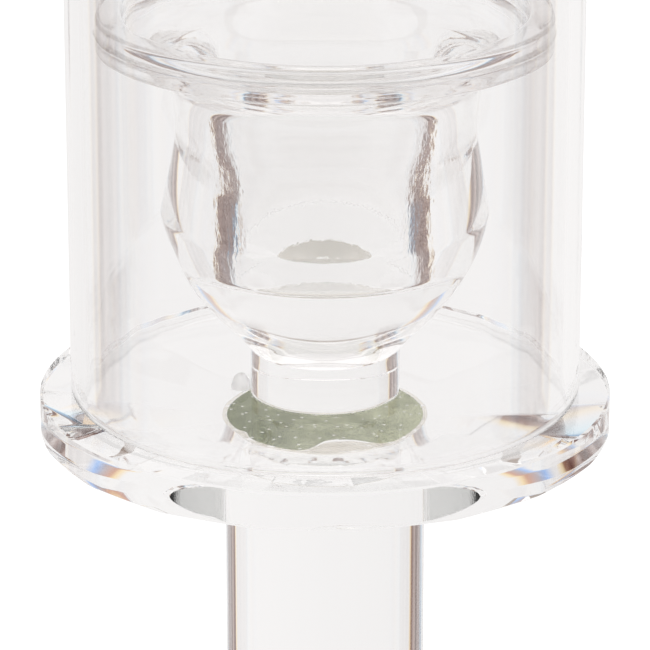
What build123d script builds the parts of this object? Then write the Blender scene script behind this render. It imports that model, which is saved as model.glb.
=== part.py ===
from build123d import *
import math
import os

# Hurricane candlestick in clear cut glass, in millimetres, +Z up.
# The origin is on the ground, under the axis of the stem.
# From the ground up: clear bumpers, faceted base, solid stem, faceted shade plate,
# candle cup glued to the plate, and a loose glass shade that stands round the cup.

# Bumpers under the base
bumper_count = 4
bumper_radius = 5.0
bumper_height = 1.5
bumper_circle_radius = 46.0
bumper_edge_radius = 0.6

# Faceted discs: the base carries its facets on top, the shade plate underneath
facet_count = 18
facet_slope = 19.5
facet_turn = -3.5
disc_edge_chamfer = 0.4
base_radius = 60.0
base_flat_apothem = 25.5
base_rim_height = 6.7
plate_radius = 50.0
plate_flat_apothem = 25.5
plate_rim_height = 6.7

# Solid stem and the glue films at its two ends
stem_radius = 17.6
stem_length = 200.0
stem_end_chamfer = 0.3
film_thickness = 0.25
film_squeeze_out = 0.5
void_front_offset = 12.4
void_side_offset = 3.5
void_half_width = 8.0

# Candle cup, with heights measured from its foot
cup_neck_radius = 13.0
cup_neck_height = 8.0
cup_girdle_radius = 28.4
cup_girdle_height = 33.1
cup_rim_radius = 39.8
cup_rim_bottom = 63.9
cup_rim_rounding = 0.5
cup_height = 70.0
well_radius = 16.6
well_bottom_height = 25.0
well_bottom_rounding = 1.2
well_top_height = 54.5
rim_inner_radius = 34.8
rim_inner_rounding = 0.8

# Candle cup's curves: points as radius and height above the foot, and directions at the ends
lower_bulb_points = [(20.6, 16.5), (25.2, 23.7)]
lower_bulb_directions = [(0.6, 0.8), (0.2, 1)]
upper_bulb_points = [(26.6, 43.5), (26.0, 49.0), (27.4, 57.4), (31.0, 61.5)]
upper_bulb_directions = [(-0.15, 1), (1, 0.2)]
dish_points = [(33.4, 66.0), (31.0, 64.6), (25.5, 63.2), (20.6, 61.0), (17.6, 58.0)]
dish_directions = [(-0.2, -1), (0, -1)]

# Glue under the cup's foot, and the bead that was squeezed out beside it
cup_film_thickness = 0.2
bead_radius = 1.9
bead_height = 2.8
bead_offset = 14.6

# Loose glass shade
shade_outer_radius = 44.6
shade_wall = 3.0
shade_height = 180.0
shade_lip_radius = 1.2

# Levels of the stack, each from the one below
slope_rise_per_mm = math.tan(math.radians(facet_slope))
base_bottom = bumper_height
base_height = base_rim_height + (base_radius - base_flat_apothem) * slope_rise_per_mm
stem_base_film_bottom = base_bottom + base_height
stem_bottom = stem_base_film_bottom + film_thickness
stem_top_film_bottom = stem_bottom + stem_length
plate_bottom = stem_top_film_bottom + film_thickness
plate_height = plate_rim_height + (plate_radius - plate_flat_apothem) * slope_rise_per_mm
plate_top = plate_bottom + plate_height
cup_foot = plate_top + cup_film_thickness
film_radius = stem_radius + film_squeeze_out

os.makedirs("parts", exist_ok=True)


def finish(piece, label):
    """Name a finished piece and write it to its own file."""
    piece.part.label = label
    export_step(piece.part, f"parts/{label}.step")


def above_foot(points):
    """Points of the cup's outline, lifted from heights above its foot to their real heights."""
    return [(radius, cup_foot + height) for radius, height in points]


# Bumpers: small clear pads on a circle near the edge of the base.
for number in range(bumper_count):
    turn = 360.0 / bumper_count * (number + 0.5)
    bumper_x = bumper_circle_radius * math.cos(math.radians(turn))
    bumper_y = bumper_circle_radius * math.sin(math.radians(turn))
    with BuildPart() as bumper:
        with BuildSketch(Plane.XY):
            with Locations((bumper_x, bumper_y)):
                Circle(bumper_radius)
        extrude(amount=bumper_height)
        fillet(bumper.edges().group_by(Axis.Z)[0], bumper_edge_radius)
    finish(bumper, f"bumper_{number + 1}")


# Base: a round disc whose top is cut into flat facets that rise to a flat under the stem.
with BuildPart() as base_disc:
    with BuildSketch(Plane.XY.offset(base_bottom)):
        RegularPolygon(
            base_flat_apothem + base_height / slope_rise_per_mm,
            facet_count,
            major_radius=False,
            rotation=facet_turn,
        )
    with BuildSketch(Plane.XY.offset(base_bottom + base_height)):
        RegularPolygon(base_flat_apothem, facet_count, major_radius=False, rotation=facet_turn)
    loft(ruled=True)
    with BuildSketch(Plane.XY.offset(base_bottom)):
        Circle(base_radius)
    extrude(amount=base_height, mode=Mode.INTERSECT)
    chamfer(base_disc.edges().filter_by(GeomType.CIRCLE).group_by(Axis.Z)[0], disc_edge_chamfer)
finish(base_disc, "base_disc")


# Glue film between the base and the foot of the stem.
with BuildPart() as stem_base_glue_film:
    with BuildSketch(Plane.XY.offset(stem_base_film_bottom)):
        Circle(film_radius)
    extrude(amount=film_thickness)
finish(stem_base_glue_film, "stem_base_glue_film")


# Stem: a solid glass rod with a fine chamfer at each end.
with BuildPart() as stem_rod:
    with BuildSketch(Plane.XY.offset(stem_bottom)):
        Circle(stem_radius)
    extrude(amount=stem_length)
    chamfer(stem_rod.edges().filter_by(GeomType.CIRCLE), stem_end_chamfer)
finish(stem_rod, "stem_rod")


# Glue film at the top of the stem, with an unfilled place at the front edge.
with BuildPart() as stem_top_glue_film:
    with BuildSketch(Plane.XY.offset(stem_top_film_bottom)):
        Circle(film_radius)
        with Locations((void_side_offset, -void_front_offset)):
            Rectangle(
                2 * void_half_width,
                film_radius,
                align=(Align.CENTER, Align.MAX),
                mode=Mode.SUBTRACT,
            )
    extrude(amount=film_thickness)
finish(stem_top_glue_film, "stem_top_glue_film")


# Shade plate: a round disc with a flat top and a faceted underside.
with BuildPart() as shade_plate:
    with BuildSketch(Plane.XY.offset(plate_bottom)):
        RegularPolygon(plate_flat_apothem, facet_count, major_radius=False, rotation=facet_turn)
    with BuildSketch(Plane.XY.offset(plate_top)):
        RegularPolygon(
            plate_flat_apothem + plate_height / slope_rise_per_mm,
            facet_count,
            major_radius=False,
            rotation=facet_turn,
        )
    loft(ruled=True)
    with BuildSketch(Plane.XY.offset(plate_bottom)):
        Circle(plate_radius)
    extrude(amount=plate_height, mode=Mode.INTERSECT)
    chamfer(shade_plate.edges().filter_by(GeomType.CIRCLE).group_by(Axis.Z)[-1], disc_edge_chamfer)
finish(shade_plate, "shade_plate")


# Glue film under the cup's foot.
with BuildPart() as cup_glue_film:
    with BuildSketch(Plane.XY.offset(plate_top)):
        Circle(cup_neck_radius)
    extrude(amount=cup_film_thickness)
finish(cup_glue_film, "cup_glue_film")


# Glue bead: a low round drop on the plate, moulded against the cup's neck.
bead_sphere_radius = (bead_radius**2 + bead_height**2) / (2 * bead_height)
with BuildPart() as glue_bead:
    with Locations((-bead_offset, 0, plate_top + bead_height - bead_sphere_radius)):
        Sphere(bead_sphere_radius)
    split(bisect_by=Plane.XY.offset(plate_top), keep=Keep.TOP)
    with BuildSketch(Plane.XY.offset(plate_top)):
        Circle(cup_neck_radius)
    extrude(amount=bead_height, mode=Mode.SUBTRACT)
finish(glue_bead, "glue_bead")


# Candle cup: a straight neck, a bulb with a mould line at its girdle, a waist, and a
# wide shallow saucer with a thick rim. Inside, a dish narrows smoothly into a straight, round well.
cup_rim_top_radius = cup_rim_radius - 2 * cup_rim_rounding
well_floor_radius = well_radius - well_bottom_rounding
with BuildPart() as candle_cup:
    with BuildSketch(Plane.XZ):
        with BuildLine():
            foot = Line((0, cup_foot), (cup_neck_radius, cup_foot))
            neck = Line(foot @ 1, (cup_neck_radius, cup_foot + cup_neck_height))
            lower_bulb = Spline(
                neck @ 1,
                *above_foot(lower_bulb_points),
                (cup_girdle_radius, cup_foot + cup_girdle_height),
                tangents=lower_bulb_directions,
            )
            upper_bulb = Spline(
                lower_bulb @ 1,
                *above_foot(upper_bulb_points),
                (cup_rim_radius - cup_rim_rounding, cup_foot + cup_rim_bottom),
                tangents=upper_bulb_directions,
            )
            rim_bottom = RadiusArc(
                upper_bulb @ 1,
                (cup_rim_radius, cup_foot + cup_rim_bottom + cup_rim_rounding),
                -cup_rim_rounding,
            )
            rim_side = Line(rim_bottom @ 1, (cup_rim_radius, cup_foot + cup_height - 2 * cup_rim_rounding))
            rim_top = RadiusArc(
                rim_side @ 1,
                (cup_rim_top_radius, cup_foot + cup_height),
                -2 * cup_rim_rounding,
            )
            rim_flat = Line(rim_top @ 1, (rim_inner_radius + rim_inner_rounding, cup_foot + cup_height))
            rim_lip = RadiusArc(
                rim_flat @ 1,
                (rim_inner_radius, cup_foot + cup_height - rim_inner_rounding),
                -rim_inner_rounding,
            )
            dish = Spline(
                rim_lip @ 1,
                *above_foot(dish_points),
                (well_radius, cup_foot + well_top_height),
                tangents=dish_directions,
            )
            well = Line(dish @ 1, (well_radius, cup_foot + well_bottom_height + well_bottom_rounding))
            well_corner = RadiusArc(
                well @ 1,
                (well_floor_radius, cup_foot + well_bottom_height),
                well_bottom_rounding,
            )
            well_floor = Line(well_corner @ 1, (0, cup_foot + well_bottom_height))
            Line(well_floor @ 1, foot @ 0)
        make_face()
    revolve(axis=Axis.Z)
finish(candle_cup, "candle_cup")


# Shade: a straight glass cylinder, open at both ends, with fire-polished lips.
with BuildPart() as hurricane_shade:
    with BuildSketch(Plane.XY.offset(plate_top)):
        Circle(shade_outer_radius)
        Circle(shade_outer_radius - shade_wall, mode=Mode.SUBTRACT)
    extrude(amount=shade_height)
    fillet(hurricane_shade.edges().filter_by(GeomType.CIRCLE), shade_lip_radius)
finish(hurricane_shade, "hurricane_shade")
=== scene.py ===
import math

import bmesh
import bpy
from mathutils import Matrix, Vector, geometry, noise


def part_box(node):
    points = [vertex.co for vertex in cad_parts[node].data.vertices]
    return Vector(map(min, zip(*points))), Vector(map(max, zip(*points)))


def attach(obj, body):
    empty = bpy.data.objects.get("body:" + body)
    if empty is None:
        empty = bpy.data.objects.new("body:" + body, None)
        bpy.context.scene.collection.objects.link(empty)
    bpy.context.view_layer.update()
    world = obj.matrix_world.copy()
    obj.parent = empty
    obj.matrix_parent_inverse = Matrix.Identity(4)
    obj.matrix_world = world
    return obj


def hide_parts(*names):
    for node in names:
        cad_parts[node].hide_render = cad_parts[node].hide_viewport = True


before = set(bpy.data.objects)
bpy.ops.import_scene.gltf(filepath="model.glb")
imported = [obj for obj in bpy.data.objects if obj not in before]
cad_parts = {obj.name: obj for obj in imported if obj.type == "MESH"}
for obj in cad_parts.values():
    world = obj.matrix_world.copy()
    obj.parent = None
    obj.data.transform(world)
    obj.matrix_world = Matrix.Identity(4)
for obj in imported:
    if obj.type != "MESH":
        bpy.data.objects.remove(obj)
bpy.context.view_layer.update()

# Lengths in this script are millimetres until a mesh is made, and then metres.
MM = 0.001
TURNS = 288

SHARP_ANGLE = math.radians(24)

# Material slots of a glass piece: its outside, where it is glued to another, its rougher
# places, and the rim of the cup. The film on top of the stem has its glue with painted olive shade
# third.
OUTSIDE = 0
JOINED = 1
ROUGH = 2
OLIVE = 2
RIM = 3


# --- Sizes, from the CAD parts -----------------------------------------------------------

def measure(node):
    """Radius about the node's own centre, lowest height and highest height of a CAD node."""
    low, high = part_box(node)
    return (high.x - low.x) / 2 / MM, low.z / MM, high.z / MM


SHADE_RADIUS, SHADE_BOTTOM, SHADE_TOP = measure("hurricane_shade")
CUP_RADIUS, CUP_FOOT, _ = measure("candle_cup")
PLATE_RADIUS, PLATE_BOTTOM, PLATE_TOP = measure("shade_plate")
STEM_RADIUS, STEM_BOTTOM, STEM_TOP = measure("stem_rod")
BASE_RADIUS, BASE_BOTTOM, BASE_TOP = measure("base_disc")
FILM_RADIUS, FILM_BOTTOM, FILM_TOP = measure("stem_top_glue_film")
CUP_FILM_RADIUS, CUP_FILM_BOTTOM, CUP_FILM_TOP = measure("cup_glue_film")
BEAD_LOW, BEAD_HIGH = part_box("glue_bead")

# Sizes that the boxes don't show
SHADE_WALL = 3.0
FACET_COUNT = 18
FACET_TURN = math.radians(-3.5)
FACET_SLOPE = math.tan(math.radians(19.5))
FLAT_APOTHEM = 25.5
EDGE_CHAMFER = 0.35
FACET_EDGE_WIDTH = 0.21
FACET_EDGE_HEIGHT = 0.175
STEM_CHAMFER = 0.25
GAP = 0.01


# --- Mesh tools --------------------------------------------------------------------------

def smooth_run(points, first_way, last_way, steps):
    """A smooth line through the points, leaving and arriving in the given directions."""
    places = [Vector(p) for p in points]
    ways = [Vector(first_way).normalized()]
    ways += [(c - a).normalized() for a, c in zip(places, places[2:])]
    ways.append(Vector(last_way).normalized())
    line = [places[0]]
    for i in range(len(places) - 1):
        reach = (places[i + 1] - places[i]).length / 3
        handles = places[i] + ways[i] * reach, places[i + 1] - ways[i + 1] * reach
        line += geometry.interpolate_bezier(places[i], *handles, places[i + 1], steps + 1)[1:]
    return [(p.x, p.y) for p in line]


def arc(centre, radius, start, end, steps):
    """Points on an arc, with its angles in degrees from the outward direction."""
    turns = [math.radians(start + (end - start) * i / steps) for i in range(steps + 1)]
    return [(centre[0] + radius * math.cos(t), centre[1] + radius * math.sin(t)) for t in turns]


def straight(start, end, steps):
    """Evenly spaced points from start to end."""
    return [tuple(a + (b - a) * i / steps for a, b in zip(start, end)) for i in range(steps + 1)]


def turned(name, rings, slots, materials, flat=(), closed=False, centre=(0, 0), turns=TURNS):
    """A closed mesh from rings about a vertical axis.

    A ring is (radius, height), or a function of the angle that gives them. A first or last
    ring of radius 0 is one point. slots has a material slot for each band between rings,
    flat names the bands that are cut facets, and closed joins the last ring to the first.
    """
    mesh = bmesh.new()
    angles = [2 * math.pi * i / turns for i in range(turns)]
    loops = []
    for ring in rings:
        places = [ring(a) if callable(ring) else ring for a in angles]
        if places[0][0] == 0:
            places = places[:1]
        loops.append([
            mesh.verts.new((
                (centre[0] + r * math.cos(a)) * MM,
                (centre[1] + r * math.sin(a)) * MM,
                z * MM,
            ))
            for a, (r, z) in zip(angles, places)
        ])
    if closed:
        loops.append(loops[0])
    for band, (low, high) in enumerate(zip(loops, loops[1:])):
        for i in range(turns):
            j = (i + 1) % turns
            corners = [low[i % len(low)], low[j % len(low)]]
            corners += [high[j % len(high)], high[i % len(high)]]
            face = mesh.faces.new(list(dict.fromkeys(corners)))
            face.material_index = slots[band]
            face.smooth = band not in flat
    bmesh.ops.recalc_face_normals(mesh, faces=mesh.faces)
    data = bpy.data.meshes.new(name)
    mesh.to_mesh(data)
    mesh.free()
    data.set_sharp_from_angle(angle=SHARP_ANGLE)
    for material in materials:
        data.materials.append(material)
    piece = bpy.data.objects.new(name, data)
    bpy.context.scene.collection.objects.link(piece)
    return piece


def stretches(*parts):
    """Rings and slots from (points, slot) stretches, each of which starts where the last ends."""
    rings = [parts[0][0][0]]
    slots = []
    for points, slot in parts:
        rings += points[1:]
        slots += [slot] * (len(points) - 1)
    return rings, slots


def facet_angle(angle):
    """How far an angle is from the middle of its facet."""
    step = 2 * math.pi / FACET_COUNT
    return (angle - FACET_TURN) % step - step / 2


def cut_disc(name, radius, flat_height, round_height, contacts, materials):
    """A round disc with a rim, cut into flat facets that run to a flat under or over the stem.

    flat_height is the level of the faceted side's flat, and round_height of the plain side.
    contacts are the outlines of the glued places on the faceted and the plain side.
    """
    way = 1 if round_height > flat_height else -1

    def rim_level(r, angle):
        return flat_height + way * (r * math.cos(facet_angle(angle)) - FLAT_APOTHEM) * FACET_SLOPE

    def flat_edge(angle):
        return FLAT_APOTHEM / math.cos(facet_angle(angle)), flat_height

    def facet_edge(angle):
        r = radius - FACET_EDGE_WIDTH
        return r, rim_level(r, angle)

    def rim_edge(angle):
        return radius, rim_level(radius, angle) + way * FACET_EDGE_HEIGHT

    glued, plain_glued = contacts
    rings = [
        (0, flat_height),
        lambda a: (glued(a) * 0.5, flat_height),
        lambda a: (glued(a), flat_height),
        flat_edge,
        facet_edge,
        rim_edge,
        (radius, round_height - way * EDGE_CHAMFER),
        (radius - EDGE_CHAMFER, round_height),
    ]
    slots = [JOINED, JOINED, OUTSIDE, OUTSIDE, OUTSIDE, OUTSIDE, OUTSIDE]
    if plain_glued:
        rings += [(plain_glued, round_height), (plain_glued / 2, round_height), (0, round_height)]
        slots += [OUTSIDE, JOINED, JOINED]
    else:
        rings += [(radius / 2, round_height), (0, round_height)]
        slots += [OUTSIDE, OUTSIDE]
    return turned(name, rings, slots, materials, flat=(2, 3))


# --- Materials ---------------------------------------------------------------------------

def new_material(name):
    """An empty material and its node tree."""
    material = bpy.data.materials.new(name)
    material.use_nodes = True
    material.node_tree.nodes.clear()
    return material, material.node_tree


def add_node(tree, kind, **values):
    """A node with some of its inputs set."""
    node = tree.nodes.new(kind)
    for key, value in values.items():
        node.inputs[key.replace("_", " ")].default_value = value
    return node


def maths(tree, operation, first, second=None):
    """The result of a sum. Each value is a number or the output of a node."""
    node = tree.nodes.new("ShaderNodeMath")
    node.operation = operation
    for i, value in enumerate((first, second)):
        if value is None:
            continue
        if isinstance(value, (int, float)):
            node.inputs[i].default_value = value
        else:
            tree.links.new(value, node.inputs[i])
    return node.outputs[0]


def blend(tree, share, colour, otherwise):
    """The colour where share is 1, and the other where it is 0. Each is a tuple or an output."""
    node = tree.nodes.new("ShaderNodeMix")
    node.data_type = "RGBA"
    tree.links.new(share, node.inputs[0])
    for socket, value in ((6, otherwise), (7, colour)):
        if isinstance(value, tuple):
            node.inputs[socket].default_value = (*value, 1)
        else:
            tree.links.new(value, node.inputs[socket])
    return node.outputs[2]


def between(tree, value, start, end):
    """How far a value is on its way from start to end, from 0 to 1."""
    node = add_node(tree, "ShaderNodeMapRange", From_Min=start, From_Max=end)
    tree.links.new(value, node.inputs["Value"])
    return node.outputs["Result"]


def add_absorption(tree, output, tint):
    """The tint that grows with the light's path through the glass, as a colour and a density."""
    if tint is None:
        return
    colour, density = tint
    volume = add_node(tree, "ShaderNodeVolumeAbsorption", Color=(*colour, 1), Density=density)
    tree.links.new(volume.outputs["Volume"], output.inputs["Volume"])


# Tints: colour and density. Glue is too thin for one.
CRYSTAL_TINT = ((0.42, 0.50, 0.36), 0.05)
CUP_TINT = ((0.65, 0.60, 0.55), 1.0)
PAD_TINT = ((0.9, 0.9, 0.85), 20.0)
GLUE_TINT = None

GLASS_IOR = 1.52
SOFT_IOR = 1.48
CLEAR = (1, 1, 1)
GLUE_CAST = (0.74, 0.68, 0.56)
FAINTEST = 0.985


def glass(
    name, tint, grain, depth, stretch=(1, 1, 1), ior=GLASS_IOR, haze=0.0, clear=1.0, cast=CLEAR
):
    """Clear glass with a faintly uneven surface and a tint that grows with its thickness.

    grain is how fine the unevenness is, depth how deep, and stretch how it runs along x, y and
    z. cast is the colour of the surface itself.
    """
    material, tree = new_material(name)
    output = tree.nodes.new("ShaderNodeOutputMaterial")
    shader = add_node(
        tree, "ShaderNodeBsdfPrincipled", Roughness=haze, IOR=ior, Transmission_Weight=clear
    )
    place = tree.nodes.new("ShaderNodeTexCoord")
    scale = add_node(tree, "ShaderNodeMapping", Scale=stretch)
    ripple = add_node(tree, "ShaderNodeTexNoise", Scale=grain, Detail=3.0, Roughness=0.45)
    bump = add_node(tree, "ShaderNodeBump", Strength=1.0, Distance=depth * MM)
    tree.links.new(place.outputs["Object"], scale.inputs["Vector"])
    tree.links.new(scale.outputs["Vector"], ripple.inputs["Vector"])
    tree.links.new(ripple.outputs["Fac"], bump.inputs["Height"])
    skin = blend(tree, ripple.outputs["Fac"], cast, tuple(FAINTEST * c for c in cast))
    tree.links.new(skin, shader.inputs["Base Color"])
    tree.links.new(bump.outputs["Normal"], shader.inputs["Normal"])
    tree.links.new(shader.outputs["BSDF"], output.inputs["Surface"])
    add_absorption(tree, output, tint)
    return material


def joined_glass(name, tint):
    """Glass where it is wetted by glue: light crosses it unbent."""
    material, tree = new_material(name)
    output = tree.nodes.new("ShaderNodeOutputMaterial")
    clear = add_node(tree, "ShaderNodeBsdfTransparent", Color=(*CLEAR, 1))
    clear.name = "clear"
    tree.links.new(clear.outputs["BSDF"], output.inputs["Surface"])
    add_absorption(tree, output, tint)
    return material


# Painted shade on the glue on the stem: an olive colour that stands in for the dark green seen
# down the stem into the shadow under the base, darker at the left and lighter to the right, with
# pale specks. Behind the cup's neck the painted shade is left off, and through several walls of
# glass it is painted a paler grey.
OLIVE_SHADE_DARK = (0.17, 0.20, 0.08)
OLIVE_SHADE_LIGHT = (0.52, 0.55, 0.35)
LIGHTENING_PER_METRE = 14.0
LIGHTENING_RANGE = (0.3, 0.75)
CLOUD_SCALE = 160.0
SPECK_COLOUR = (0.85, 0.86, 0.80)
SPECK_SCALE = 330.0
SPECK_EDGE = (0.11, 0.06)
FAR_COLOUR = (0.78, 0.78, 0.75)
FAR_DEPTH = 4.5
CLEARED_COLOUR = (0.97, 0.97, 0.96)
CLEARED_BACK = 11.0
CLEARED_WIDENING = 0.8
CLEARED_EDGE = (11.0, 9.0)
GLANCE_RANGE = (0.35, 0.5)


def olive_shade_film(name):
    """Wetted glue painted with olive shade: mottled from above, and clear at a glancing look."""
    material = joined_glass(name, GLUE_TINT)
    tree = material.node_tree
    place = tree.nodes.new("ShaderNodeTexCoord")
    split = tree.nodes.new("ShaderNodeSeparateXYZ")
    cloud = add_node(tree, "ShaderNodeTexNoise", Scale=CLOUD_SCALE, Detail=6.0, Roughness=0.7)
    specks = add_node(tree, "ShaderNodeTexVoronoi", Scale=SPECK_SCALE)
    specks.voronoi_dimensions = "2D"
    from_cleared = add_node(
        tree, "ShaderNodeMapping",
        Location=(0, -CLEARED_BACK * MM, 0), Scale=(CLEARED_WIDENING, 1, 0),
    )
    for node in (split, cloud, specks, from_cleared):
        tree.links.new(place.outputs["Object"], node.inputs["Vector"])
    reach = tree.nodes.new("ShaderNodeVectorMath")
    reach.operation = "LENGTH"
    tree.links.new(from_cleared.outputs["Vector"], reach.inputs[0])
    path = tree.nodes.new("ShaderNodeLightPath")
    glance = add_node(tree, "ShaderNodeLayerWeight", Blend=0.5)

    lean = maths(tree, "MULTIPLY", split.outputs["X"], LIGHTENING_PER_METRE)
    lightness = maths(tree, "ADD", lean, cloud.outputs["Fac"])
    lightened = between(tree, lightness, *LIGHTENING_RANGE)
    speck = between(tree, specks.outputs["Distance"], *SPECK_EDGE)
    far = maths(tree, "GREATER_THAN", path.outputs["Ray Depth"], FAR_DEPTH)
    cleared = between(tree, reach.outputs["Value"], *(edge * MM for edge in CLEARED_EDGE))
    glancing = between(tree, glance.outputs["Facing"], *GLANCE_RANGE)
    # Painted shade: olive for the dark green seen down the stem into the shadow under the base,
    # darker at the left; paler grey through several walls of glass; left off behind the cup's neck
    # and at a glancing look.
    colour = blend(tree, lightened, OLIVE_SHADE_LIGHT, OLIVE_SHADE_DARK)
    colour = blend(tree, speck, SPECK_COLOUR, colour)
    colour = blend(tree, far, FAR_COLOUR, colour)
    colour = blend(tree, cleared, CLEARED_COLOUR, colour)
    colour = blend(tree, glancing, CLEAR, colour)
    tree.links.new(colour, tree.nodes["clear"].inputs["Color"])
    return material


crystal = glass("crystal", CRYSTAL_TINT, 40.0, 0.004)
stem_glass = glass("stem_glass", CRYSTAL_TINT, 700.0, 0.02, stretch=(1, 1, 0.01))
crystal_joined = joined_glass("crystal_joined", CRYSTAL_TINT)
cup_glass = glass("cup_glass", CUP_TINT, 60.0, 0.01, stretch=(1, 1, 0.6))
well_glass = glass("well_glass", CUP_TINT, 1400.0, 0.04, stretch=(1, 1, 0.4))
rim_glass = glass("rim_glass", CUP_TINT, 150.0, 0.025, stretch=(0.12, 0.12, 5))
shade_glass = glass("shade_glass", CUP_TINT, 45.0, 0.02, stretch=(1, 1, 0.03))
ground_end = glass("ground_end", CRYSTAL_TINT, 900.0, 0.05, stretch=(0.1, 1, 1), haze=0.15)
glue = glass("glue", GLUE_TINT, 300.0, 0.02, cast=GLUE_CAST)
glue_joined = joined_glass("glue_joined", GLUE_TINT)
# Glue with painted olive shade, for the wetted underside of the stem's top film
olive_shade_glue = olive_shade_film("olive_shade_glue")
milky_glue = glass("milky_glue", GLUE_TINT, 500.0, 0.05, ior=SOFT_IOR, haze=0.6, clear=0.75)
bumper_clear = glass("bumper_clear", PAD_TINT, 200.0, 0.02, ior=SOFT_IOR, haze=0.05)


# --- Pieces ------------------------------------------------------------------------------

def settle(piece, body, node):
    """A piece rides on its body and takes the place of its CAD node."""
    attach(piece, body)
    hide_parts(node)


def round_noise(angle, detail, level):
    """Smooth noise round a circle, about -1 to 1. More detail makes it finer."""
    return noise.noise(Vector((math.cos(angle) * detail, math.sin(angle) * detail, level)))


# Edge of the stem's top film, with angles from straight in front to the right: a straight edge
# across the unfilled place, and a small nick at its left
WET_INSET = 0.35
VOID_MIDDLE = math.radians(13)
VOID_HALF_ANGLE = math.radians(21)
VOID_OFFSET = 12.4
NICK_MIDDLE = math.radians(-56)
NICK_HALF_ANGLE = math.radians(5)
NICK_DEPTH = 0.8
STEM_SHOULDER = STEM_RADIUS - STEM_CHAMFER


def film_wet_radius(angle):
    """Edge of the glue that wets both the plate and the stem, with the unfilled place in front."""
    wobble = 0.5 * round_noise(angle, 1.6, 3.1)
    ragged = 0.12 * round_noise(angle, 7, 8.4)
    radius = min(FILM_RADIUS - WET_INSET + wobble + ragged, STEM_SHOULDER - 0.1)
    side = math.atan2(math.cos(angle), -math.sin(angle))
    in_void = math.exp(-((side - VOID_MIDDLE) / VOID_HALF_ANGLE) ** 4)
    in_nick = math.exp(-((side - NICK_MIDDLE) / NICK_HALF_ANGLE) ** 2)
    void_edge = VOID_OFFSET / max(-math.sin(angle), 0.3)
    return radius * (1 - in_void) + void_edge * in_void - NICK_DEPTH * in_nick


def film_outer_radius(angle):
    """Edge of the glue on the plate, squeezed out past the stem."""
    return FILM_RADIUS - 0.15 + 0.15 * round_noise(angle, 5, 1.7)


# The film's free underside, where it doesn't wet the stem, with ripples that run sideways
FREE_LIFT = 0.1
RIPPLE_DEPTH = 0.08
RIPPLES_SIDEWAYS = 0.25
RIPPLES_FORWARD = 1.6


def make_stem_top_film():
    """The glue film between stem and plate: wet inside, a rippled underside where unfilled."""
    def ripple(angle, share):
        wet, outer = film_wet_radius(angle), film_outer_radius(angle)
        r = wet + (outer - wet) * share
        x, y = r * math.cos(angle), r * math.sin(angle)
        wave = noise.noise(Vector((x * RIPPLES_SIDEWAYS, y * RIPPLES_FORWARD, 0.5)))
        return r, FILM_BOTTOM + FREE_LIFT + RIPPLE_DEPTH * wave

    rings = [
        (0, FILM_TOP - GAP),
        lambda a: (film_outer_radius(a) / 2, FILM_TOP - GAP),
        lambda a: (film_outer_radius(a), FILM_TOP - GAP),
        lambda a: (film_outer_radius(a) + 0.05, FILM_TOP - 0.1),
    ]
    slots = [JOINED, JOINED, OUTSIDE]
    steps = 10
    for i in range(steps):
        rings.append(lambda a, share=1 - i / steps: ripple(a, share))
        slots.append(OUTSIDE)
    rings += [
        lambda a: (film_wet_radius(a), FILM_BOTTOM + GAP),
        lambda a: (film_wet_radius(a) / 2, FILM_BOTTOM + GAP),
        (0, FILM_BOTTOM + GAP),
    ]
    # Where it wets the stem, the underside carries the painted olive shade
    slots += [OUTSIDE, OLIVE, OLIVE]
    piece = turned("stem_top_glue", rings, slots, (glue, glue_joined, olive_shade_glue))
    settle(piece, "stand", "stem_top_glue_film")


def make_plain_film(name, node, radius, low, high, top_slot):
    """A thin disc of glue between two glass faces. It wets the lower one.

    top_slot says how it meets the upper one: JOINED where it wets it too.
    """
    rings, slots = stretches(
        (straight((0, high - GAP), (radius, high - GAP), 2), top_slot),
        (straight((radius, high - GAP), (radius, low + GAP), 1), OUTSIDE),
        (straight((radius, low + GAP), (0, low + GAP), 2), JOINED),
    )
    settle(turned(name, rings, slots, (glue, glue_joined)), "stand", node)


def make_stem():
    """The solid stem, with a fine polished edge at each end."""
    rings = [
        (0, STEM_BOTTOM),
        (STEM_SHOULDER / 2, STEM_BOTTOM),
        (STEM_SHOULDER, STEM_BOTTOM),
        (STEM_RADIUS, STEM_BOTTOM + STEM_CHAMFER),
    ]
    side_steps = 24
    rings += straight(rings[-1], (STEM_RADIUS, STEM_TOP - STEM_CHAMFER), side_steps)[1:]
    slots = [JOINED, JOINED, OUTSIDE] + [OUTSIDE] * side_steps
    rings += [
        (STEM_SHOULDER, STEM_TOP),
        lambda a: (film_wet_radius(a), STEM_TOP),
        lambda a: (film_wet_radius(a) / 2, STEM_TOP),
        (0, STEM_TOP),
    ]
    slots += [OUTSIDE, ROUGH, JOINED, JOINED]
    piece = turned("stem", rings, slots, (stem_glass, crystal_joined, ground_end))
    settle(piece, "stand", "stem_rod")


def make_discs():
    """The faceted shade plate and the faceted base."""
    skins = (crystal, crystal_joined)
    plate = cut_disc(
        "plate", PLATE_RADIUS, PLATE_BOTTOM, PLATE_TOP,
        (film_outer_radius, CUP_FILM_RADIUS), skins,
    )
    settle(plate, "stand", "shade_plate")
    base = cut_disc(
        "base", BASE_RADIUS, BASE_TOP, BASE_BOTTOM, (lambda a: STEM_SHOULDER, None), skins,
    )
    settle(base, "stand", "base_disc")
    make_plain_film(
        "stem_base_glue", "stem_base_glue_film", STEM_SHOULDER, BASE_TOP, STEM_BOTTOM, JOINED
    )


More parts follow.
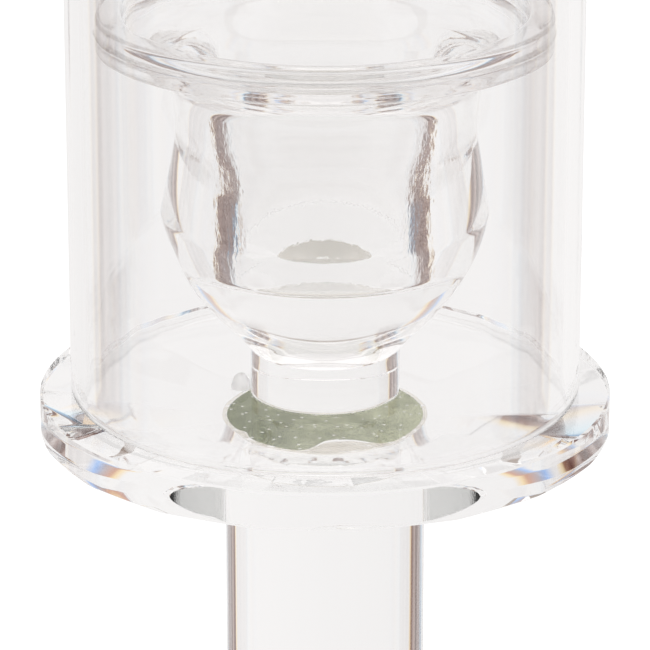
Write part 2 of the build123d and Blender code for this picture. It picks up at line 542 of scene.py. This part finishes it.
# The candle cup's outline, as radius and height above its foot
FOOT_CHAMFER = 0.2
NECK_HEIGHT = 8.0
GIRDLE = (28.4, 33.1)
LOWER_BULB = [(20.6, 16.5), (25.4, 23.7), GIRDLE]
UPPER_BULB = [GIRDLE, (26.6, 43.5), (26.0, 49.0), (27.4, 57.4), (31.0, 61.5), (39.1, 63.9)]
RIM_LOW_CORNER = [(39.1, 63.9), (39.65, 64.5)]
RIM_FACE = [(39.65, 64.5), (39.7, 66.6)]
RIM_SEAM = [(39.7, 66.6), (CUP_RADIUS, 66.9), (39.7, 67.2)]
RIM_UPPER_FACE = [(39.7, 67.2), (39.6, 69.1)]
RIM_HIGH_CORNER = [(39.6, 69.1), (39.3, 69.8), (38.7, 70.0)]
RIM_TOP = [(38.7, 70.0), (36.0, 69.85), (35.0, 69.6), (34.6, 68.8)]
DISH = [(34.6, 68.8), (33.4, 66.0), (31.0, 64.6), (25.5, 63.2), (20.6, 61.0), (17.6, 58.0)]
WELL_RADIUS = 16.6
WELL_TOP = 54.5
WELL_FLOOR = 25.0
WELL_CORNER = 1.2
LEANING_LIP_RINGS = 4

# The inside leans outwards with height, from the floor's edge to the lip, and the chill marks
# fade out towards the floor and the mouth of the well.
DRAFT_PER_MM = 0.05
DRAFT_MIDDLE = 40
DRAFT_LIMITS = (-0.7, 0.4)
CHILL_START, CHILL_FULL = 30, 36
CHILL_ENDING, CHILL_END = 49, 54
CHILL_BROAD = 0.05
CHILL_FINE = 0.008


def chilled(ring):
    """A ring of the inside of the cup, with its draft and the chill marks of the well."""
    r, z = ring
    height = z - CUP_FOOT
    fade_in = (height - CHILL_START) / (CHILL_FULL - CHILL_START)
    fade_out = (CHILL_END - height) / (CHILL_END - CHILL_ENDING)
    depth = max(0.0, min(1.0, fade_in, fade_out))
    least, most = DRAFT_LIMITS
    past_floor = r > WELL_RADIUS - WELL_CORNER - 0.1
    draft = max(least, min(most, DRAFT_PER_MM * (height - DRAFT_MIDDLE))) if past_floor else 0

    def place(angle):
        broad = CHILL_BROAD * round_noise(angle, 5.5, z * 0.10)
        fine = CHILL_FINE * round_noise(angle, 16, z * 0.7)
        return r + draft + depth * (broad + fine), z
    return place


def make_cup():
    """The candle cup, with chill marks on the wall of its well."""
    def lift(points):
        return [(r, CUP_FOOT + height) for r, height in points]

    def line(points, steps):
        return straight(*lift(points), steps)

    def curve(points, first_way, last_way, steps):
        return smooth_run(lift(points), first_way, last_way, steps)

    foot_edge = (CUP_FILM_RADIUS - FOOT_CHAMFER, 0)
    neck_foot = (CUP_FILM_RADIUS, FOOT_CHAMFER)
    neck_top = (CUP_FILM_RADIUS, NECK_HEIGHT)
    well_top = (WELL_RADIUS, WELL_TOP)
    corner_centre = (WELL_RADIUS - WELL_CORNER, WELL_FLOOR + WELL_CORNER)
    floor_edge = (WELL_RADIUS - WELL_CORNER, WELL_FLOOR)
    outside, outside_slots = stretches(
        (line([(0, 0), foot_edge], 2), OUTSIDE),
        (line([foot_edge, neck_foot], 1), OUTSIDE),
        (line([neck_foot, neck_top], 6), OUTSIDE),
        (curve([neck_top, *LOWER_BULB], (0.6, 0.8), (0.2, 1), 14), OUTSIDE),
        (curve(UPPER_BULB, (-0.15, 1), (1, 0.2), 14), OUTSIDE),
        (curve(RIM_LOW_CORNER, (1, 0.2), (0.1, 1), 6), RIM),
        (line(RIM_FACE, 4), RIM),
        (curve(RIM_SEAM, (0.2, 1), (-0.2, 1), 3), RIM),
        (line(RIM_UPPER_FACE, 3), RIM),
        (curve(RIM_HIGH_CORNER, (0, 1), (-1, 0), 5), RIM),
        (curve(RIM_TOP, (-1, 0), (-0.2, -1), 6), RIM),
    )
    inside, inside_slots = stretches(
        (curve([*DISH, well_top], (-0.2, -1), (0, -1), 12), OUTSIDE),
        (line([well_top, (WELL_RADIUS, corner_centre[1])], 80), ROUGH),
        (arc(*lift([corner_centre]), WELL_CORNER, 0, -90, 10), OUTSIDE),
        (line([floor_edge, (0, WELL_FLOOR)], 8), OUTSIDE),
    )
    first_leaning = len(outside) - LEANING_LIP_RINGS
    rings = outside + inside[1:]
    rings = [
        ring if i < first_leaning or ring[0] == 0 else chilled(ring)
        for i, ring in enumerate(rings)
    ]
    skins = (cup_glass, cup_glass, well_glass, rim_glass)
    piece = turned("cup", rings, outside_slots + inside_slots, skins)
    settle(piece, "stand", "candle_cup")
    make_plain_film(
        "cup_glue", "cup_glue_film", foot_edge[0], CUP_FILM_BOTTOM, CUP_FILM_TOP, OUTSIDE
    )


def make_bead():
    """The drop of glue beside the cup's foot."""
    low, high = BEAD_LOW / MM, BEAD_HIGH / MM
    middle = (low.x + high.x) / 2, (low.y + high.y) / 2
    radius = (high.x - low.x) / 2
    height = high.z - low.z
    steps = 14
    profile = [(0, low.z + GAP)] + [
        (radius * math.cos(t), low.z + GAP + (height - GAP) * math.sin(t))
        for t in [math.radians(90 * i / steps) for i in range(steps)]
    ] + [(0, high.z)]

    def lumpy(ring):
        r, z = ring
        return lambda angle: (r * (0.95 + 0.1 * round_noise(angle, 1, z)), z)

    rings = [ring if ring[0] == 0 else lumpy(ring) for ring in profile]
    slots = [OUTSIDE] * (len(rings) - 1)
    piece = turned("bead", rings, slots, (milky_glue,), centre=middle, turns=48)
    settle(piece, "stand", "glue_bead")


# Fine lengthwise lines of drawn glass, not the same on the shade's two faces
DRAWN_DEPTH = 0.03
DRAWN_FINENESS = 9
DRAWN_CHANGE_PER_MM = 0.004
OUTER_FACE, INNER_FACE = 1.0, 0.4


def make_shade():
    """The glass chimney: drawn tube with fire-polished lips."""
    lip = SHADE_WALL / 2
    middle = SHADE_RADIUS - lip
    top_lip = arc((middle, SHADE_TOP - lip), lip, 0, 180, 16)
    bottom_lip = arc((middle, SHADE_BOTTOM + GAP + lip), lip, 180, 360, 16)
    rings, slots = stretches(
        (straight(bottom_lip[-1], top_lip[0], 30), OUTSIDE),
        (top_lip, OUTSIDE),
        (straight(top_lip[-1], bottom_lip[0], 30), OUTSIDE),
        (bottom_lip[:-1], OUTSIDE),
    )

    def drawn(ring):
        r, z = ring
        level = z * DRAWN_CHANGE_PER_MM + (OUTER_FACE if r > middle else INNER_FACE)

        def place(angle):
            line = round_noise(angle, DRAWN_FINENESS, level)
            return r - DRAWN_DEPTH + DRAWN_DEPTH * line, z
        return place

    rings = [drawn(ring) for ring in rings]
    piece = turned("shade", rings, slots + [OUTSIDE], (shade_glass,), closed=True)
    settle(piece, "shade", "hurricane_shade")


PAD_TOP_EDGE = 0.1
PAD_WIDEST_DROP = 0.5
PAD_FOOT_EDGE = 1.2


def make_bumpers():
    """Soft clear pads under the base."""
    for number in range(1, 5):
        low, high = (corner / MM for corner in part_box(f"bumper_{number}"))
        middle = (low.x + high.x) / 2, (low.y + high.y) / 2
        radius = (high.x - low.x) / 2
        top_edge = (radius - PAD_TOP_EDGE, high.z - GAP)
        widest = (radius, high.z - PAD_WIDEST_DROP)
        bottom_edge = (radius - PAD_FOOT_EDGE, low.z)
        side = smooth_run([top_edge, widest, bottom_edge], (0.7, -0.7), (-1, 0), 8)
        rings, slots = stretches(
            (straight((0, high.z - GAP), top_edge, 2), OUTSIDE),
            (side, OUTSIDE),
            (straight(bottom_edge, (0, low.z), 3), OUTSIDE),
        )
        piece = turned(
            f"bumper_pad_{number}", rings, slots, (bumper_clear,), centre=middle, turns=64
        )
        settle(piece, "stand", f"bumper_{number}")


make_stem_top_film()
make_stem()
make_discs()
make_cup()
make_bead()
make_shade()
make_bumpers()


# --- Studio ------------------------------------------------------------------------------

FLOOR_RADIUS = 180
FLOOR_DROP = 0.02
FLOOR_COLOUR = (0.9, 0.9, 0.9)
FLOOR_THROUGH_GLASS = (0.5, 0.49, 0.485)
# The floor glows faintly as glass sees it: painted light that lifts the shadow under the glass
# base
FLOOR_PAINTED_GLOW = 0.32


def make_floor():
    """A plain white round table top under the object, a little darker through glass, where it also
    glows faintly: painted light that lifts the shadow under the glass base.
    """
    mesh = bmesh.new()
    bmesh.ops.create_circle(mesh, cap_ends=True, segments=96, radius=FLOOR_RADIUS * MM)
    data = bpy.data.meshes.new("floor")
    mesh.to_mesh(data)
    mesh.free()
    material, tree = new_material("floor")
    output = tree.nodes.new("ShaderNodeOutputMaterial")
    paint = tree.nodes.new("ShaderNodeBsdfDiffuse")
    glow = tree.nodes.new("ShaderNodeEmission")
    both = tree.nodes.new("ShaderNodeAddShader")
    seen = tree.nodes.new("ShaderNodeLightPath").outputs["Is Camera Ray"]
    colour = blend(tree, seen, FLOOR_COLOUR, FLOOR_THROUGH_GLASS)
    through_glass = maths(tree, "SUBTRACT", 1.0, seen)
    # Painted light: a glow only for rays that come through glass
    strength = maths(tree, "MULTIPLY", through_glass, FLOOR_PAINTED_GLOW)
    tree.links.new(colour, paint.inputs["Color"])
    tree.links.new(strength, glow.inputs["Strength"])
    tree.links.new(paint.outputs["BSDF"], both.inputs[0])
    tree.links.new(glow.outputs["Emission"], both.inputs[1])
    tree.links.new(both.outputs["Shader"], output.inputs["Surface"])
    data.materials.append(material)
    floor = bpy.data.objects.new("floor", data)
    floor.location.z = -FLOOR_DROP * MM
    bpy.context.scene.collection.objects.link(floor)


# The studio as glass meets it: colours round the room, by degrees either way from straight
# behind the object. The dark gaps have coloured edges, as cut glass splits light.
WHITE = (0.90, 0.885, 0.88)
LOW_ROOM = [
    (0, WHITE),
    (54, WHITE),
    (56, (0.95, 0.78, 0.50)),
    (57, (0.30, 0.15, 0.10)),
    (59, (0.12, 0.05, 0.04)),
    (61, (0.32, 0.20, 0.17)),
    (62.5, (0.50, 0.38, 0.34)),
    (64, (0.14, 0.06, 0.04)),
    (66, (0.10, 0.05, 0.04)),
    (68, (0.28, 0.18, 0.16)),
    (70, (0.52, 0.42, 0.39)),
    (71.5, (0.16, 0.09, 0.08)),
    (74, (0.18, 0.12, 0.11)),
    (76, (0.42, 0.34, 0.33)),
    (78, (0.12, 0.14, 0.18)),
    (80, (0.25, 0.42, 0.62)),
    (81, (0.75, 0.88, 0.95)),
    (85, WHITE),
    (87, (0.95, 0.85, 0.72)),
    (89, (0.72, 0.66, 0.64)),
    (92, (0.72, 0.71, 0.77)),
    (94, (0.76, 0.84, 0.96)),
    (96, WHITE),
    (140, (0.86, 0.845, 0.84)),
    (180, (0.80, 0.785, 0.78)),
]
HIGH_ROOM = [
    (0, WHITE),
    (38, WHITE),
    (41, (0.95, 0.75, 0.45)),
    (43, (0.65, 0.38, 0.28)),
    (47, (0.50, 0.45, 0.48)),
    (50, (0.42, 0.60, 0.95)),
    (53, WHITE),
    (66, WHITE),
    (69, (0.95, 0.70, 0.45)),
    (72, (0.55, 0.45, 0.42)),
    (76, (0.45, 0.62, 0.90)),
    (79, WHITE),
    (140, (0.86, 0.845, 0.84)),
    (180, (0.80, 0.785, 0.78)),
]

# How strongly the low room's colours show, by level: a level is the height of a direction,
# from -1 straight down to 1 straight up
BAND_STRENGTHS = [(-0.46, 0.3), (-0.44, 1), (-0.276, 1), (-0.25, 0.3), (-0.02, 0.3), (0, 1)]
HIGH_ROOM_LEVEL = 0.4
CEILING_EDGE_LEVEL = 0.66
CEILING_LEVEL = 0.71
CEILING_EDGE = (0.40, 0.33, 0.29)
CEILING = (1.15, 1.13, 1.12)
SURROUNDING = (1.15, 1.15, 1.15)
NO_BANDS = (0.0, 0.0, 0.0)
ALL_BANDS = (1, 1, 1)

# In the studio, the ray depth is one more than the faces the light has met.
DEEP_IN_GLASS = 5.5
PAST_BOTH_WALLS = 5.0
NEVER_MIRRORED = 1.5

ROOM_TURN = math.radians(3)
ROOM_BRIGHTNESS = 1.02
BRIGHTER_TO_RIGHT = 0.05


def make_world():
    """A white studio. Glass meets it as a white back and front with dark gaps between."""
    world = bpy.data.worlds.new("studio")
    bpy.context.scene.world = world
    world.use_nodes = True
    tree = world.node_tree
    tree.nodes.clear()
    place = tree.nodes.new("ShaderNodeTexCoord")
    split = tree.nodes.new("ShaderNodeSeparateXYZ")
    swing = add_node(tree, "ShaderNodeMapping", Rotation=(0, 0, ROOM_TURN))
    tree.links.new(place.outputs["Generated"], swing.inputs["Vector"])
    tree.links.new(swing.outputs["Vector"], split.inputs["Vector"])
    path = tree.nodes.new("ShaderNodeLightPath")
    depth = path.outputs["Ray Depth"]
    level = split.outputs["Z"]

    def ramp(place_on_ramp, stops):
        """Colours along a value from 0 to 1."""
        node = tree.nodes.new("ShaderNodeValToRGB")
        band = node.color_ramp
        while len(band.elements) < len(stops):
            band.elements.new(0.5)
        for element, (position, colour) in zip(band.elements, stops):
            element.position = position
            element.color = (*colour, 1)
        tree.links.new(place_on_ramp, node.inputs["Fac"])
        return node.outputs["Color"]

    def ring_of_lights(stops):
        return ramp(turn, [(degrees / 180, colour) for degrees, colour in stops])

    def above(limit):
        return maths(tree, "GREATER_THAN", level, limit)

    turn = maths(tree, "ARCTAN2", maths(tree, "ABSOLUTE", split.outputs["X"]), split.outputs["Y"])
    turn = maths(tree, "DIVIDE", turn, math.pi)
    height = maths(tree, "MULTIPLY", maths(tree, "ADD", level, 1.0), 0.5)
    strength = ramp(height, [((z + 1) / 2, (share,) * 3) for z, share in BAND_STRENGTHS])
    deep = maths(tree, "GREATER_THAN", depth, DEEP_IN_GLASS)
    strength = blend(tree, deep, ALL_BANDS, strength)
    mirrored = maths(tree, "SUBTRACT", depth, path.outputs["Transmission Depth"])
    straight_through = maths(
        tree, "MULTIPLY",
        maths(tree, "COMPARE", depth, PAST_BOTH_WALLS),
        maths(tree, "LESS_THAN", mirrored, NEVER_MIRRORED),
    )
    strength = blend(tree, straight_through, NO_BANDS, strength)
    room = blend(tree, strength, ring_of_lights(LOW_ROOM), WHITE)
    room = blend(tree, above(HIGH_ROOM_LEVEL), ring_of_lights(HIGH_ROOM), room)
    room = blend(tree, above(CEILING_EDGE_LEVEL), CEILING_EDGE, room)
    room = blend(tree, above(CEILING_LEVEL), CEILING, room)

    unbent = maths(tree, "MAXIMUM", path.outputs["Is Camera Ray"], path.outputs["Is Diffuse Ray"])
    background = tree.nodes.new("ShaderNodeBackground")
    output = tree.nodes.new("ShaderNodeOutputWorld")
    rightward = maths(tree, "MULTIPLY", split.outputs["X"], BRIGHTER_TO_RIGHT)
    brightness = maths(tree, "ADD", rightward, ROOM_BRIGHTNESS)
    tree.links.new(blend(tree, unbent, SURROUNDING, room), background.inputs["Color"])
    tree.links.new(brightness, background.inputs["Strength"])
    tree.links.new(background.outputs["Background"], output.inputs["Surface"])


CAMERA_PITCH = math.radians(20.3)
CAMERA_DISTANCE = 839
CAMERA_AIM_OVER_PLATE = 11.3
CAMERA_LENS = 265.8


def make_camera():
    """A long lens from the front, looking down on the plate."""
    data = bpy.data.cameras.new("camera")
    data.sensor_width = 36
    data.lens = CAMERA_LENS
    data.clip_start = 0.05
    camera = bpy.data.objects.new("camera", data)
    aim = Vector((0, 0, (PLATE_TOP + CAMERA_AIM_OVER_PLATE) * MM))
    back = Vector((0, -math.cos(CAMERA_PITCH), math.sin(CAMERA_PITCH)))
    camera.location = aim + back * CAMERA_DISTANCE * MM
    camera.rotation_euler = (math.radians(90) - CAMERA_PITCH, 0, 0)
    bpy.context.scene.collection.objects.link(camera)
    bpy.context.scene.camera = camera


def set_light_paths():
    """Enough bounces for light to cross every wall of the glass, and no tone curve."""
    scene = bpy.context.scene
    scene.view_settings.view_transform = "Standard"
    scene.cycles.max_bounces = 128
    scene.cycles.transmission_bounces = 128
    scene.cycles.glossy_bounces = 64
    scene.cycles.transparent_max_bounces = 64
    scene.cycles.caustics_reflective = True
    scene.cycles.caustics_refractive = True
    scene.cycles.blur_glossy = 0.0


make_floor()
make_world()
make_camera()
set_light_paths()
